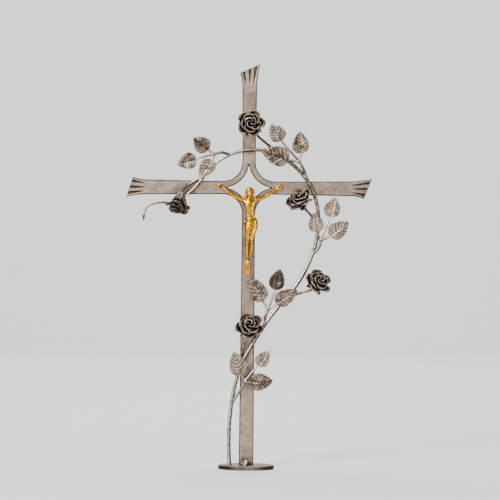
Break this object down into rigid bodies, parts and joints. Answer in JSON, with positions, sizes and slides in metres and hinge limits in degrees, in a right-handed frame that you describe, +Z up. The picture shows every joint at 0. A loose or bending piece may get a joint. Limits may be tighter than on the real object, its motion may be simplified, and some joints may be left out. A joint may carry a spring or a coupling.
{
  "type": "wrought iron grave cross with climbing rose",
  "caption": "Forged flat bar grave cross on an oval foot plate, wound with a climbing rose of leaves and blooms and carrying a gilt corpus.",
  "frame": {"origin": "middle of the foot plate's underside, where the cross is bolted down", "axes": "+Z up along the upright, +X to the right of someone facing the front, the front looks towards -Y"},
  "size_m": [0.675, 0.1125, 1.113],
  "materials": {
    "worn_iron": "wire brushed forged bar, warm grey, clear waxed, darker along the edges",
    "stem_iron": "round bar hammered and brushed, dark grey with bright flanks",
    "leaf_iron": "embossed sheet, blackened and brushed bright on the raised parts",
    "black_iron": "blackened sheet petals, satin, rubbed bright on the rims",
    "antique_gold": "gilt casting with brown patina in the hollows",
    "bright_steel": "polished domed nut",
    "dark_iron": "dark nail heads"
  },
  "bodies": {
    "root": {"base_plate": "worn_iron", "cap_nut": "bright_steel", "cross": "worn_iron", "climbing_stem": "stem_iron", "bloom_stem_top": "stem_iron", "bloom_stem_left": "stem_iron", "bloom_stem_right": "stem_iron", "bloom_stem_outer": "stem_iron", "bloom_stem_lower": "stem_iron", "twig_left": "stem_iron", "twig_top": "stem_iron", "twig_right": "stem_iron", "twig_middle": "stem_iron", "twig_low": "stem_iron", "leaf_left_1": "leaf_iron", "leaf_left_2": "leaf_iron", "leaf_left_3": "leaf_iron", "leaf_top_1": "leaf_iron", "leaf_top_2": "leaf_iron", "leaf_top_3": "leaf_iron", "leaf_right_1": "leaf_iron", "leaf_right_2": "leaf_iron", "leaf_right_3": "leaf_iron", "leaf_middle_1": "leaf_iron", "leaf_middle_2": "leaf_iron", "leaf_middle_3": "leaf_iron", "leaf_low_1": "leaf_iron", "leaf_low_2": "leaf_iron", "leaf_low_3": "leaf_iron", "rose_top_calyx": "black_iron", "rose_top_outer_petals": "black_iron", "rose_top_middle_petals": "black_iron", "rose_top_inner_petals": "black_iron", "rose_left_calyx": "black_iron", "rose_left_outer_petals": "black_iron", "rose_left_middle_petals": "black_iron", "rose_left_inner_petals": "black_iron", "rose_right_calyx": "black_iron", "rose_right_outer_petals": "black_iron", "rose_right_middle_petals": "black_iron", "rose_right_inner_petals": "black_iron", "rose_outer_calyx": "black_iron", "rose_outer_outer_petals": "black_iron", "rose_outer_middle_petals": "black_iron", "rose_outer_inner_petals": "black_iron", "rose_lower_calyx": "black_iron", "rose_lower_outer_petals": "black_iron", "rose_lower_middle_petals": "black_iron", "rose_lower_inner_petals": "black_iron", "corpus": "antique_gold", "nail_left_hand": "dark_iron", "nail_right_hand": "dark_iron"}
  },
  "joints": []
}
